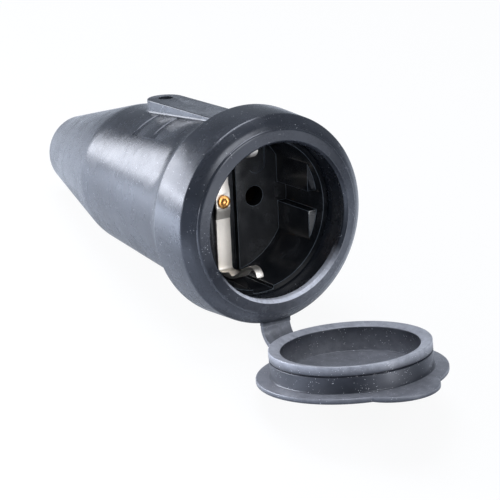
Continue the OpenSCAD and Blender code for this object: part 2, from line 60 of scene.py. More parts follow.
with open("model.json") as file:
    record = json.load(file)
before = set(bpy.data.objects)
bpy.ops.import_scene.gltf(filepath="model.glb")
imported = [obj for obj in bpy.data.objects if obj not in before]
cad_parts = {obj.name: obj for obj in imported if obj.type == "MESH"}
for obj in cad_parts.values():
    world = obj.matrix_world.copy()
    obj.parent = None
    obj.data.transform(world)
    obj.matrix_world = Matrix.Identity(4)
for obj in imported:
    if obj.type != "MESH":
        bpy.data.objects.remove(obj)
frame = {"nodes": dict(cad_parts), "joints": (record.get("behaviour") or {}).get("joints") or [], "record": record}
CAD_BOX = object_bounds()
MOUTH_AXIS = next(m["axis"] for m in frame["record"]["mounts"] if m["name"] == "socket_mouth")
LEAN = math.atan2(MOUTH_AXIS[2], -MOUTH_AXIS[1])
LID_JOINT = frame["joints"][0]
LID_OPEN = math.radians(-LID_JOINT["range_deg"][0])

MM = 0.001
FULL_TURN = 2 * math.pi
AT_ORIGIN = Matrix.Identity(4)

# Merging and comparing points
SAME_POINT = 0.001 * MM
SAME_POINT_IN_COPY = 0.002 * MM
NO_LENGTH = 0.0005 * MM
EDGE = 0.05 * MM

# Steps of round shapes
HOUSING_STEPS = 256
LID_STEPS = 224
CORNER_STEPS = 4
SHOULDER_STEPS = 16
SEAT_STEPS = 6
TONGUE_STEPS = 24
FILLET_STEPS = 5
BAND_STEPS = 24
HOLE_STEPS = 64
FLANGE_STEPS = 72
TAB_STEPS = 40
STRAP_STEPS = 36
EDGE_STEPS = 3
STRIP_EDGE_STEPS = 2
SCREW_EDGE_STEPS = 2
INSERT_EDGE_STEPS = 1

# Roundings of corners and edges
ROUNDING = {name: size * MM for name, size in {
    "mouth": 0.2, "knee": 0.5, "rim": 0.4, "collar": 0.35, "cone": 1.6, "tail": 1.2,
    "entry": 0.4, "throat": 0.3, "lip": 0.15, "ring_foot": 0.2, "groove_side": 0.12,
    "groove": 0.1, "ring_end": 0.35, "ring_bore": 0.25, "flange": 0.32, "strap": 0.28,
    "insert": 0.28, "strip": 0.1, "screw": 0.15,
}.items()}
ROUND_PROFILE = 0.5

# Angles in degrees: edges that are rounded, faces that are flat, edges that are shaded smooth
SHARP_PLATE = 60
SHARP_COPY = 34
FLAT_COPY = 0.6
SMOOTH_RUBBER = 32
SMOOTH_STRAP = 50

# Hidden ends of pieces and cutters, and shares of the curved parts
THROAT_SLOPE = 1.0 * MM
TONGUE_START = 1.0 * MM
TONGUE_ROOT = 1.0 * MM
OVERSHOOT = 1.0 * MM
HOLE_DEPTH = 10 * MM
SHOULDER_BEND_SHARE = 0.55
FILLET_MIDDLE_SHARE = 0.3

# Wear and painted light from zero to one, and where they lie in degrees round the mouth: start, full, full until,
# end
LIP_WORN_AND_LIT = (-150, -125, -58, -28)
FACE_WORN_AND_LIT = (-150, -80, -50, 20)
FACE_WEAR_AND_LIGHT = 0.14
# The strap and the pad it hangs from are painted paler: painted light on a strap that lies in the housing's
# shadow.
STRAP_PAINTED_LIGHT = 0.27
LID_BACK_WEAR_AND_LIGHT = 0.02
FLANGE_WEAR_AND_LIGHT = 0.19
RING_END_WEAR_AND_LIGHT = 0.44
BEAD_WEAR_AND_LIGHT = 0.03

# Noise textures: fineness per metre, detail and roughness
MOULD_RINGS = (900, 4, 0.6)
CLOUDS = (75, 5, 0.62)
SCUFFS = (650, 5, 0.72)
RUBBER_DUST = (420, 3, 0.6)
RUBBER_POLISH = (170, 5, 0.65)
RUBBER_GRAIN = (4200, 3, 0.6)
RUBBER_WAVES = (260, 3, 0.5)
INSERT_HAZE = (200, 5, 0.6)
INSERT_DUST = (180, 4, 0.5)
INSERT_POLISH = (300, 4, 0.5)
INSERT_WAVES = (600, 3, 0.5)
METAL_LINES = (1800, 4, 0.6)
METAL_STAINS = (260, 4, 0.6)

# Specks of dust: cells per metre, and the distances from a cell's middle where a speck ends
# and where it is full
RUBBER_SPECKS = (2000, (0.17, 0.09))
INSERT_SPECKS = (1300, (0.09, 0.04))

# How textures are stretched across, along and up
RING_STRETCH = (0.08, 1, 0.08)
SCUFF_STRETCH = (1, 0.5, 1)

# Ends between which a texture's value counts, and what it gives at these ends
CLOUD_ENDS = (0.42, 0.75)
SCUFF_ENDS, SCUFF_SHARES = (0.35, 0.65), (0.72, 1.16)
RUBBER_DUST_ENDS = (0.66, 0.74)
RUBBER_POLISH_ENDS, RUBBER_POLISH_SPREAD = (0.3, 0.72), (-0.05, 0.07)
LINE_ENDS, RING_SPREAD = (0.3, 0.7), (-0.02, 0.02)
HAZE_ENDS, HAZINESS, EDGE_HIGHLIGHT_HAZINESS = (0.45, 0.8), 0.03, 0.1
INSERT_DUST_ENDS, INSERT_DUST_SHARES = (0.6, 0.68), (0, 0.3)
INSERT_ROUGHNESS = (0.15, 0.23)
STAIN_ENDS, STAINED = (0.55, 0.8), 0.25
METAL_POLISH_SPREAD = (-0.05, 0.08)

# The band of painted shade on the strip: heights from the axis, width of its soft ends,
# strength, and how the drawing lines show in it
STRIP_SHADE_BAND = (-4.9 * MM, -1.6 * MM)
SHADE_BAND_BLEND = 0.15 * MM
SHADE_BAND_STRENGTH = 1.3
SHADE_BAND_ENDS, SHADE_BAND_SHARES = (0.3, 0.6), (1.0, 0.75)

# What a stain and the band of painted shade leave of a metal's colour
STAIN_DULLNESS = 0.55
SHADE_BAND_DARKNESS = 0.34

# Bumps: depth and strength
GRAIN_BUMP = (0.008 * MM, 0.3)
RING_BUMP = (0.012 * MM, 0.22)
WAVE_BUMP = (0.05 * MM, 0.3)
INSERT_BUMP = (0.02 * MM, 0.25)
LINE_BUMP = (0.004 * MM, 0.4)

RUBBER_IOR = 1.56
RUBBER_SHEEN_TINT = (0.86, 0.9, 1.0, 1)
INSERT_IOR = 1.55

# Nodes that keep their own shape, by their metal
BRASS_NODES = ("earth_terminal", "live_terminal", "neutral_terminal")
BRONZE_NODES = ("live_contact", "neutral_contact")
ZINC_NODES = (
    "earth_terminal_screw", "live_terminal_screw", "neutral_terminal_screw", "carrier_screw_left",
    "carrier_screw_right", "clamp_screw_left", "clamp_screw_right", "housing_screw", "housing_nut",
)

# Softboxes round the object: azimuth and elevation in degrees, distance, width and height,
# brightness and tint
COOL = (0.92, 0.94, 1.0)
WHITE = (1, 1, 1)
LIT_PLACE = Vector((0, 40, -15)) * MM
SOFTBOXES = {
    "left": (-147, 9, 0.6, (0.46, 0.27), 8.2, COOL),
    "overhead": (178, 76, 0.6, (0.4, 0.4), 6.0, COOL),
    "front_wide": (20, 8, 0.8, (0.9, 0.6), 1.3, COOL),
    "front_top": (5, 42, 0.7, (0.4, 0.3), 5.0, WHITE),
    "front": (17, 3, 0.6, (0.15, 0.15), 6.4, WHITE),
}

# Lamps that face straight down: place, width and height, and brightness
FLOOR_LAMPS = {
    "floor_left": (Vector((-0.15, 0.12, 0.016)), (0.12, 0.18), 14.0),
    "floor_near": (Vector((-0.11, -0.03, 0.0)), (0.08, 0.08), 3.0),
}
DOWN = Vector((0, 0, -1))

# Floor and surround: size, gap below the object, and the shares of white that rays find there
FLOOR_HALF = 3.0
FLOOR_GAP = 0.05 * MM
FLOOR_SEEN = 0.92
SURROUND_SEEN = 1.0
WHITE_IN_MIRRORS = 0.12
FILL_COLOUR = (0.70, 0.82, 1.0, 1)
FILL_STRENGTH = 0.28

# The camera, in the socket's own axes
CAMERA_PLACE = Vector((-227.16, -345.72, 115.92)) * MM
CAMERA_RIGHT = Vector((0.8385, -0.5431, -0.0441))
CAMERA_UP = Vector((0.1903, 0.2160, 0.9577))
SENSOR_MM = 36.0
IMAGE_PIXELS = 500
FOCAL_PIXELS = 1700
NEAR_CLIP, FAR_CLIP = 0.01, 20


def length(name, default_mm, description):
    """A length in metres, with its default written in millimetres."""
    return bpy.props.FloatProperty(
        name=name, description=description, default=default_mm * MM, min=0, unit="LENGTH"
    )


def colour(name, default, description):
    """A colour without transparency."""
    return bpy.props.FloatVectorProperty(
        name=name, description=description, default=default, size=3, min=0, max=1, subtype="COLOR"
    )


class SocketHousingSizes(bpy.types.PropertyGroup):
    """Sizes of the rubber housing, measured along and around the socket's axis."""

    mouth_radius: length("Mouth radius", 21.1, "Radius of the mouth at its front edge")
    lip_radius: length("Lip radius", 20.35, "Inner radius of the sealing lip")
    lip_lead: length("Lip lead", 1.0, "Length of the lead into the lip")
    lip_length: length("Lip length", 1.6, "Length of the sealing lip")
    throat_radius: length("Throat radius", 22.0, "Radius of the undercut behind the lip")
    seat_radius: length("Seat radius", 24.1, "Radius of the seat for the lid's flange")
    seat_setback: length("Seat setback", 0.9, "How far the seat falls back at its outer edge")
    seat_step: length("Seat step", 0.5, "Depth of the step round the seat")
    seat_round: length("Seat rounding", 0.9, "Rounding of the seat's outer edge")
    knee_out: length("Knee out", 1.1, "How far outside the seat the front face gets steeper")
    knee_back: length("Knee back", 0.6, "How far that line is set back from the step's foot")
    rim_radius: length("Rim radius", 27.3, "Radius of the collar at its front edge")
    rim_setback: length("Rim setback", 3.9, "How far the collar's outer front edge is set back")
    collar_radius: length("Collar radius", 28.0, "Radius of the collar at its rear edge")
    collar_end: length("Collar end", 15.7, "Distance of the collar's rear edge behind the mouth")
    body_front_radius: length("Body front radius", 24.2, "Body radius at the collar's rear edge")
    body_rear_radius: length("Body rear radius", 20.2, "Body radius where the cone begins")
    body_end: length("Body end", 70.0, "Distance from the mouth to the start of the cone")
    tail_radius: length("Tail radius", 10.3, "Radius of the cone's rear end")
    tail_end: length("Tail end", 110.5, "Distance from the mouth to the rear end")
    shoulder_length: length("Shoulder length", 11.2, "Length of the hollow shoulder")
    bore_radius: length("Bore radius", 21.4, "Inner radius behind the insert's front face")
    cavity_radius: length("Cavity radius", 18.6, "Inner radius round the terminals")
    cavity_end: length("Cavity end", 62.4, "Distance from the mouth to the cavity's end")
    entry_radius: length("Entry radius", 5.2, "Radius of the cable entry")
    entry_length: length("Entry length", 20.0, "Length of the cable entry")
    insert_front: length("Insert front", 9.5, "Distance from the mouth to the insert's front face")
    insert_end: length("Insert end", 31.0, "Distance from the mouth to the insert's back")


class SocketTongueSizes(bpy.types.PropertyGroup):
    """Sizes of the tongue, its screw hole and the shallow bands beside it."""

    top: length("Top", 24.05, "Height of the flat top above the axis")
    width: length("Width", 10.2, "Width of the tongue")
    screw_place: length("Screw place", 55.2, "Distance from the mouth to the screw")
    hole_radius: length("Hole radius", 2.0, "Radius of the screw hole")
    band_depth: length("Band depth", 0.18, "Depth of the shallow bands")
    band_slope: length("Band slope", 0.28, "Length of the slope at a band's front and rear edge")
    band_width: length("Band width", 2.6, "Width of each band")
    band_place: length("Band place", 49.0, "Distance from the mouth to the middle of the rear band")
    band_step: length("Band step", 10.2, "Distance between the bands")
    band_gap: length("Band gap", 5.7, "How far round the body from the middle the bands begin")
    band_reach: length("Band reach", 9.4, "How far round the body they reach")
    edge: length("Edge", 0.35, "Rounding of the tongue's top edge")
    fillet: length("Fillet", 0.7, "Hollow rounding where the tongue's sides meet the body")
    sink: length("Sink", 0.03, "How far the fillet's foot lies below the body's skin")


class SocketLidSizes(bpy.types.PropertyGroup):
    """Sizes of the lid in its closed place, and of its strap."""

    gap: length("Gap", 0.3, "Gap between the closed flange and the mouth")
    flange_radius: length("Flange radius", 23.65, "Radius of the flange")
    flange_thickness: length("Flange thickness", 1.3, "Thickness of the flange")
    ring_radius: length("Ring radius", 20.05, "Outer radius of the plug ring")
    ring_bore: length("Ring bore", 17.1, "Inner radius of the plug ring")
    ring_height: length("Ring height", 6.8, "Height of the plug ring above the flange")
    ring_dish: length("Ring dish", 0.8, "How far the ring's end face falls in towards its bore")
    bead_height: length("Bead height", 2.3, "Height of the bead at the ring's free end")
    groove_depth: length("Groove depth", 0.45, "Depth of the groove below the bead")
    groove_width: length("Groove width", 0.45, "Width of the groove")
    cup_recess: length("Cup recess", 0.25, "Depth of the shallow recess in the cup's floor")
    foot_fillet: length("Foot fillet", 0.4, "Hollow rounding where the ring meets the flange")
    tab_radius: length("Tab radius", 10.6, "Radius of the finger tab's round edge")
    tab_reach: length("Tab reach", 4.45, "How far the tab reaches past the flange")
    strap_width: length("Strap width", 8.6, "Width of the strap")
    strap_thickness: length("Strap thickness", 1.3, "Thickness of the strap")
    strap_pull: length("Strap pull", 3.9, "How strongly the strap keeps its direction at its ends")
    stub_length: length("Stub length", 0.8, "Length of the stub that meets the strap")


class SocketColours(bpy.types.PropertyGroup):
    """Colours of the rubber, the insert and the metal."""

    rubber: colour("Rubber", (0.014, 0.016, 0.021), "Dark grey rubber of the housing")
    rubber_pale: colour("Pale rubber", (0.030, 0.034, 0.043), "Paler cloud in the rubber")
    lid: colour("Lid", (0.012, 0.0132, 0.018), "Dark grey rubber of the lid, greyed by dust")
    lid_pale: colour("Pale lid", (0.035, 0.037, 0.047), "Paler bloom on the lid")
    # Paler rubber for wear and painted light: on the lid's end face and flange and low on the mouth it is partly
    # wear, partly painted light from above; on the strap it is painted light.
    worn_and_lit: colour("Worn rubber", (0.62, 0.64, 0.71), "Rubber where lid and mouth rub")
    dust: colour("Dust", (0.78, 0.79, 0.84), "Specks of dust on the rubber")
    insert: colour("Insert", (0.006, 0.007, 0.009), "Black moulded insert")
    # Paler colour painted on the insert's rounded edges as a highlight.
    insert_edge_highlight: colour("Insert edge", (0.07, 0.085, 0.10), "Rubbed edges of the insert")
    nickel: colour("Nickel", (0.96, 0.91, 0.84), "Nickel plated strip")
    brass: colour("Brass", (0.64, 0.32, 0.10), "Brass screw")
    # The sleeves' dark colour is painted shade, so that the pin holes look black.
    sleeve_shade: colour("Sleeve", (0.05, 0.035, 0.02), "Darkened bronze of the pin sleeves")
    zinc: colour("Zinc", (0.55, 0.56, 0.58), "Zinc plated steel")
    paper: colour("Paper", (0.66, 0.70, 0.76), "Floor and backdrop")


def sizes(name):
    """The property group of that name on the scene."""
    return getattr(bpy.context.scene, name)


def lie():
    """Turns the socket's own axes, with the mouth's plane at zero, into the way it lies."""
    to_mouth = Matrix.Translation((0, -sizes("socket_housing").lip_lead, 0))
    return Matrix.Rotation(-LEAN, 4, "X") @ to_mouth


def lid_place():
    """Turns a closed lid into the place where it stands open."""
    hinge = lie().inverted() @ Vector(LID_JOINT["pos_m"])
    swing = Matrix.Rotation(LID_OPEN, 4, "X")
    return lie() @ Matrix.Translation(hinge) @ swing @ Matrix.Translation(-hinge)


def wire(points):
    """A bmesh that holds one open chain of points."""
    bm = bmesh.new()
    verts = [bm.verts.new(p) for p in points]
    for a, b in zip(verts, verts[1:]):
        bm.edges.new((a, b))
    return bm, verts


def turned(outline, steps):
    """A solid turned about the socket's axis from rows of radius, distance and rounding.

    It starts half a step round, so that none of its points lies on the middle plane.
    """
    bm, verts = wire([(0, y, r) for r, y, _ in outline])
    bm.edges.new((verts[-1], verts[0]))
    for vert, (_, _, rounding) in zip(verts, outline):
        if rounding:
            bmesh.ops.bevel(
                bm, geom=[vert], offset=rounding, offset_type="OFFSET", segments=CORNER_STEPS,
                profile=ROUND_PROFILE, affect="VERTICES", material=-1,
            )
    bmesh.ops.spin(
        bm, geom=bm.verts[:] + bm.edges[:], cent=(0, 0, 0), axis=(0, 1, 0), dvec=(0, 0, 0),
        angle=FULL_TURN, steps=steps, use_merge=True,
    )
    bmesh.ops.remove_doubles(bm, verts=bm.verts[:], dist=SAME_POINT)
    bmesh.ops.dissolve_degenerate(bm, dist=NO_LENGTH, edges=bm.edges[:])
    half_step = Matrix.Rotation(FULL_TURN / steps / 2, 3, "Y")
    bmesh.ops.rotate(bm, verts=bm.verts[:], cent=(0, 0, 0), matrix=half_step)
    bmesh.ops.recalc_face_normals(bm, faces=bm.faces[:])
    return bm


def plate(outline, thickness, direction):
    """A flat outline pushed out to a plate."""
    bm, verts = wire(outline)
    face = bm.faces.new(verts)
    grown = bmesh.ops.extrude_face_region(bm, geom=[face])
    moved = [v for v in grown["geom"] if isinstance(v, bmesh.types.BMVert)]
    bmesh.ops.translate(bm, verts=moved, vec=Vector(direction) * thickness)
    bmesh.ops.recalc_face_normals(bm, faces=bm.faces[:])
    return bm


def lofted(rings):
    """A closed solid through rows of points, each with as many points as the next."""
    bm = bmesh.new()
    loops = []
    for ring in rings:
        verts = [bm.verts.new(p) for p in ring]
        loops.append([bm.edges.new((verts[i - 1], verts[i])) for i in range(len(verts))])
        if ring in (rings[0], rings[-1]):
            bm.faces.new(verts)
    for low, high in zip(loops, loops[1:]):
        bmesh.ops.bridge_loops(bm, edges=low + high)
    bmesh.ops.recalc_face_normals(bm, faces=bm.faces[:])
    return bm


def cylinder(radius, depth, steps, place):
    """A plain cylinder whose axis is upright before it is put in its place."""
    bm = bmesh.new()
    bmesh.ops.create_cone(
        bm, cap_ends=True, segments=steps, radius1=radius, radius2=radius, depth=depth,
        matrix=place,
    )
    return bm


def arc(centre, radius, start, end, steps):
    """Points along a round stretch, with its ends in degrees."""
    turns = [math.radians(start + (end - start) * i / steps) for i in range(steps + 1)]
    return [(centre[0] + radius * math.cos(t), centre[1] + radius * math.sin(t)) for t in turns]


def soften(bm, width):
    """Rounds every sharp edge of a bmesh."""
    sharp = math.radians(SHARP_PLATE)
    edges = [e for e in bm.edges if e.is_manifold and e.calc_face_angle(0) > sharp]
    bmesh.ops.bevel(
        bm, geom=edges, offset=width, offset_type="OFFSET", segments=EDGE_STEPS,
        profile=ROUND_PROFILE, affect="EDGES", clamp_overlap=True, material=-1,
    )


def settle(bm, name, material, place=AT_ORIGIN):
    """Puts a bmesh in its place and makes it an object with one material."""
    bmesh.ops.transform(bm, matrix=place, verts=bm.verts[:])
    mesh = bpy.data.meshes.new(name)
    bm.to_mesh(mesh)
    bm.free()
    piece = bpy.data.objects.new(name, mesh)
    bpy.context.scene.collection.objects.link(piece)
    mesh.materials.append(material)
    return piece


def applied(piece):
    """Replaces a piece's mesh by what its modifiers make of it."""
    bpy.context.view_layer.update()
    graph = bpy.context.evaluated_depsgraph_get()
    mesh = bpy.data.meshes.new_from_object(piece.evaluated_get(graph))
    piece.modifiers.clear()
    piece.data = mesh
    return piece


def combine(piece, tool, operation):
    """Joins or cuts a piece with a second one, which is then removed."""
    step = piece.modifiers.new(operation.lower(), "BOOLEAN")
    step.operation = operation
    step.solver = "EXACT"
    step.object = tool
    applied(piece)
    bpy.data.objects.remove(tool)


def smooth(piece, angle):
    """Shades a piece smooth up to the given angle."""
    piece.data.shade_smooth()
    piece.data.set_sharp_from_angle(angle=math.radians(angle))


def wear_and_light(piece, share_at):
    """Stores how much paler wear and painted light a piece gets at each of its points, from zero to one."""
    layer = piece.data.attributes.new("wear_and_light", "FLOAT", "POINT")
    layer.data.foreach_set("value", [share_at(v.co) for v in piece.data.vertices])


def dress_nodes(nodes, material):
    """Gives nodes of the frame their material."""
    for node in nodes:
        mesh = frame["nodes"][node].data
        mesh.materials.clear()
        mesh.materials.append(material)


def stand_in(node, material, width, steps, plain_faces=True, edges=None):
    """A copy of a node with rounded edges, which stands for the node.

    The rounded edges have a material of their own if one is given; the insert's is a paler painted edge highlight.
    """
    bm = bmesh.new()
    bm.from_mesh(frame["nodes"][node].data)
    bmesh.ops.remove_doubles(bm, verts=bm.verts[:], dist=SAME_POINT_IN_COPY)
    if plain_faces:
        bmesh.ops.dissolve_limit(
            bm, angle_limit=math.radians(FLAT_COPY), verts=bm.verts[:], edges=bm.edges[:],
            delimit={"NORMAL"},
        )
    piece = settle(bm, node + "_moulded", material)
    round_off = piece.modifiers.new("rounding", "BEVEL")
    round_off.width = width
    round_off.segments = steps
    round_off.limit_method = "ANGLE"
    round_off.angle_limit = math.radians(SHARP_COPY)
    if edges:
        piece.data.materials.append(edges)
        round_off.material = 1
    applied(piece)
    smooth(piece, SHARP_COPY)
    return piece


def shifted(ends, by):
    """Both ends, moved by the same amount."""
    return tuple(end + by for end in ends)


class Shader:
    """Adds nodes to one material and links them."""

    def __init__(self, name):
        self.material = bpy.data.materials.get(name) or bpy.data.materials.new(name)
        self.material.use_nodes = True
        self.nodes = self.material.node_tree.nodes
        self.links = self.material.node_tree.links
        self.nodes.clear()
        self.surface = self.nodes.new("ShaderNodeBsdfPrincipled")
        out = self.nodes.new("ShaderNodeOutputMaterial")
        self.links.new(self.surface.outputs["BSDF"], out.inputs["Surface"])
        self.coords = self.nodes.new("ShaderNodeTexCoord").outputs["Object"]

    def set(self, **values):
        """Writes fixed values on the surface."""
        for name, value in values.items():
            self.surface.inputs[name.replace("_", " ")].default_value = value

    def drive(self, name, value):
        """Links a texture to an input of the surface."""
        self.links.new(value, self.surface.inputs[name])

    def stretched(self, scale, lean=0):
        """Coordinates that are turned about the cross axis and stretched."""
        node = self.nodes.new("ShaderNodeMapping")
        node.inputs["Rotation"].default_value = (lean, 0, 0)
        node.inputs["Scale"].default_value = scale
        self.links.new(self.coords, node.inputs["Vector"])
        return node.outputs["Vector"]

    def height(self):
        """Height above the socket's axis."""
        node = self.nodes.new("ShaderNodeSeparateXYZ")
        self.links.new(self.stretched((1, 1, 1), LEAN), node.inputs["Vector"])
        return node.outputs["Z"]

    def noise(self, texture, coords=None):
        """A noise texture, given by its fineness per metre, its detail and its roughness."""
        node = self.nodes.new("ShaderNodeTexNoise")
        for name, value in zip(("Scale", "Detail", "Roughness"), texture):
            node.inputs[name].default_value = value
        self.links.new(coords or self.coords, node.inputs["Vector"])
        return node.outputs["Fac"]

    def specks(self, per_metre, ends):
        """Small round specks, one in each cell."""
        node = self.nodes.new("ShaderNodeTexVoronoi")
        node.inputs["Scale"].default_value = per_metre
        self.links.new(self.coords, node.inputs["Vector"])
        return self.spread(node.outputs["Distance"], ends)

    def attribute(self, name):
        """A value stored on the mesh."""
        node = self.nodes.new("ShaderNodeAttribute")
        node.attribute_name = name
        return node.outputs["Fac"]

    def spread(self, value, ends, results=(0, 1)):
        """Spreads what lies between two ends over the two results."""
        node = self.nodes.new("ShaderNodeMapRange")
        for name, number in zip(("From Min", "From Max", "To Min", "To Max"), (*ends, *results)):
            node.inputs[name].default_value = number
        self.links.new(value, node.inputs["Value"])
        return node.outputs["Result"]

    def joined(self, operation, a, b):
        """The sum or product of two values."""
        node = self.nodes.new("ShaderNodeMath")
        node.operation = operation
        self.links.new(a, node.inputs[0])
        self.links.new(b, node.inputs[1])
        return node.outputs["Value"]

    def mix(self, factor, a, b):
        """Two colours, fixed or linked, mixed by a factor."""
        node = self.nodes.new("ShaderNodeMix")
        node.data_type = "RGBA"
        self.links.new(factor, node.inputs["Factor"])
        for socket, value in ((node.inputs[6], a), (node.inputs[7], b)):
            if isinstance(value, bpy.types.NodeSocket):
                self.links.new(value, socket)
            else:
                socket.default_value = (*value, 1)
        return node.outputs[2]

    def bump(self, height, depth, strength, before=None):
        """Normals that follow a height, on top of earlier ones if these are given."""
        node = self.nodes.new("ShaderNodeBump")
        node.inputs["Strength"].default_value = strength
        node.inputs["Distance"].default_value = depth
        self.links.new(height, node.inputs["Height"])
        if before:
            self.links.new(before, node.inputs["Normal"])
        return node.outputs["Normal"]


def rubber(name, base, pale, dustiness, gloss):
    """Moulded rubber with clouds, paler scuffed patches of wear and painted light, faint rings of the mould, a
    matt grain and dust.
    """
    shader = Shader(name)
    colours = sizes("socket_colours")
    rings = shader.noise(MOULD_RINGS, shader.stretched(RING_STRETCH, LEAN))
    cloud = shader.spread(shader.noise(CLOUDS), CLOUD_ENDS)
    scuffs = shader.noise(SCUFFS, shader.stretched(SCUFF_STRETCH, LEAN))
    scuffed = shader.spread(scuffs, SCUFF_ENDS, SCUFF_SHARES)
    worn_and_lit = shader.joined("MULTIPLY", shader.attribute("wear_and_light"), scuffed)
    body = shader.mix(worn_and_lit, shader.mix(cloud, base, pale), colours.worn_and_lit)
    specks = shader.specks(*RUBBER_SPECKS)
    patches = shader.spread(shader.noise(RUBBER_DUST), shifted(RUBBER_DUST_ENDS, -dustiness))
    dusty = shader.joined("MULTIPLY", specks, patches)
    shader.drive("Base Color", shader.mix(dusty, body, colours.dust))
    polish = shader.spread(
        shader.noise(RUBBER_POLISH), RUBBER_POLISH_ENDS, shifted(RUBBER_POLISH_SPREAD, gloss)
    )
    drawn = shader.spread(rings, LINE_ENDS, RING_SPREAD)
    shader.drive("Roughness", shader.joined("ADD", polish, drawn))
    shader.set(IOR=RUBBER_IOR, Specular_Tint=RUBBER_SHEEN_TINT)
    grain = shader.bump(shader.noise(RUBBER_GRAIN), *GRAIN_BUMP)
    marks = shader.bump(rings, *RING_BUMP, grain)
    shader.drive("Normal", shader.bump(shader.noise(RUBBER_WAVES), *WAVE_BUMP, marks))
    return shader.material


def thermoset(name, base, haziness):
    """A glossy moulding with a faint haze and a little dust."""
    shader = Shader(name)
    dust = sizes("socket_colours").dust
    haze = shader.spread(shader.noise(INSERT_HAZE), HAZE_ENDS, (0, haziness))
    specks = shader.specks(*INSERT_SPECKS)
    patches = shader.spread(shader.noise(INSERT_DUST), INSERT_DUST_ENDS, INSERT_DUST_SHARES)
    dusty = shader.joined("MULTIPLY", specks, patches)
    shader.drive("Base Color", shader.mix(dusty, shader.mix(haze, base, dust), dust))
    polish = shader.noise(INSERT_POLISH)
    shader.drive("Roughness", shader.spread(polish, LINE_ENDS, INSERT_ROUGHNESS))
    shader.set(IOR=INSERT_IOR)
    shader.drive("Normal", shader.bump(shader.noise(INSERT_WAVES), *INSERT_BUMP))
    return shader.material


def painted_shade_band(shader, lines, shade_band):
    """How much painted shade a metal gets at each height."""
    low, high = shade_band
    height = shader.height()
    above = shader.spread(height, (low, low + SHADE_BAND_BLEND))
    below = shader.spread(height, (high, high - SHADE_BAND_BLEND), (0, SHADE_BAND_STRENGTH))
    within = shader.joined("MULTIPLY", above, below)
    return shader.joined("MULTIPLY", within, shader.spread(lines, SHADE_BAND_ENDS, SHADE_BAND_SHARES))


def metal(name, base, rough, streak=1.0, stained=STAINED, shade_band=None):
    """Metal with drawing lines, dull stains and, if its heights are given, a band of painted shade."""
    shader = Shader(name)
    lines = shader.noise(METAL_LINES, shader.stretched((1, 1, streak)))
    stains_and_shade = shader.spread(shader.noise(METAL_STAINS), STAIN_ENDS, (0, stained))
    # A band of painted shade darkens the colour at set heights.
    if shade_band:
        stains_and_shade = shader.joined("ADD", stains_and_shade, painted_shade_band(shader, lines, shade_band))
    darkness = SHADE_BAND_DARKNESS if shade_band else STAIN_DULLNESS
    shader.drive("Base Color", shader.mix(stains_and_shade, base, [darkness * c for c in base]))
    shader.drive("Roughness", shader.spread(lines, LINE_ENDS, shifted(METAL_POLISH_SPREAD, rough)))
    shader.set(Metallic=1.0)
    shader.drive("Normal", shader.bump(lines, *LINE_BUMP))
    return shader.material


def housing_rubber():
    """The housing's rubber, fairly glossy."""
    colours = sizes("socket_colours")
    return rubber("housing_rubber", colours.rubber, colours.rubber_pale, dustiness=0.1, gloss=0.25)


def lid_rubber():
    """The lid's and the strap's rubber, duller and dustier."""
    colours = sizes("socket_colours")
    return rubber("lid_rubber", colours.lid, colours.lid_pale, dustiness=0.18, gloss=0.34)


def insert_thermoset():
    """The insert's black."""
    return thermoset("insert_thermoset", sizes("socket_colours").insert, HAZINESS)


def insert_edge_highlights():
    """The insert's rounded edges, paler as a painted highlight."""
    return thermoset("insert_edge_highlights", sizes("socket_colours").insert_edge_highlight, EDGE_HIGHLIGHT_HAZINESS)


def nickel():
    """The earth strip's plating, brushed along its length, with a band of painted shade across it."""
    base = sizes("socket_colours").nickel
    return metal("nickel_strip", base, rough=0.5, streak=0.12, stained=0.12, shade_band=STRIP_SHADE_BAND)


def brass():
    """The brass of the earth screw and the terminals."""
    return metal("brass", sizes("socket_colours").brass, rough=0.26)


def pin_hole_shade():
    """The bronze of the pin contacts, darkened as painted shade in the pin holes."""
    return metal("pin_hole_shade_bronze", sizes("socket_colours").sleeve_shade, rough=0.5)


def zinc():
    """The plating of the steel screws."""
    return metal("zinc_steel", sizes("socket_colours").zinc, rough=0.36)


def body_radius(y):
    """Radius of the body's straight taper at a distance behind the mouth."""
    s = sizes("socket_housing")
    along = (y - s.collar_end) / (s.body_end - s.collar_end)
    return s.body_front_radius + (s.body_rear_radius - s.body_front_radius) * along


def bow(share):
    """How a hollow curve rises, as a share of its circle."""
    return 1 - math.sqrt(1 - share * share * SHOULDER_BEND_SHARE)


def outer_radius(y):
    """Outer radius of the housing behind the collar, hollow shoulder included."""
    s = sizes("socket_housing")
    along = (y - s.collar_end) / s.shoulder_length
    if along >= 1:
        return body_radius(y)
    foot = body_radius(s.collar_end + s.shoulder_length)
    return foot + (s.collar_radius - foot) * bow(1 - along) / bow(1)


def shoulder():
    """The hollow shoulder from the collar's rear edge down to the body."""
    s = sizes("socket_housing")
    steps = range(1, SHOULDER_STEPS + 1)
    places = [s.collar_end + s.shoulder_length * i / SHOULDER_STEPS for i in steps]
    return [(outer_radius(y), y, 0) for y in places]


def seat_edge():
    """The seat's rounded outer edge, which falls off to the foot of its step."""
    s = sizes("socket_housing")
    foot = s.seat_setback + s.seat_step
    width = s.seat_radius - s.mouth_radius
    start = s.seat_setback * (s.seat_radius - s.seat_round - s.mouth_radius) / width
    rows = []
    for i in range(SEAT_STEPS + 1):
        turn = math.pi / 2 * i / SEAT_STEPS
        radius = s.seat_radius - s.seat_round * (1 - math.sin(turn))
        rows.append((radius, foot - (foot - start) * math.cos(turn), 0))
    return rows


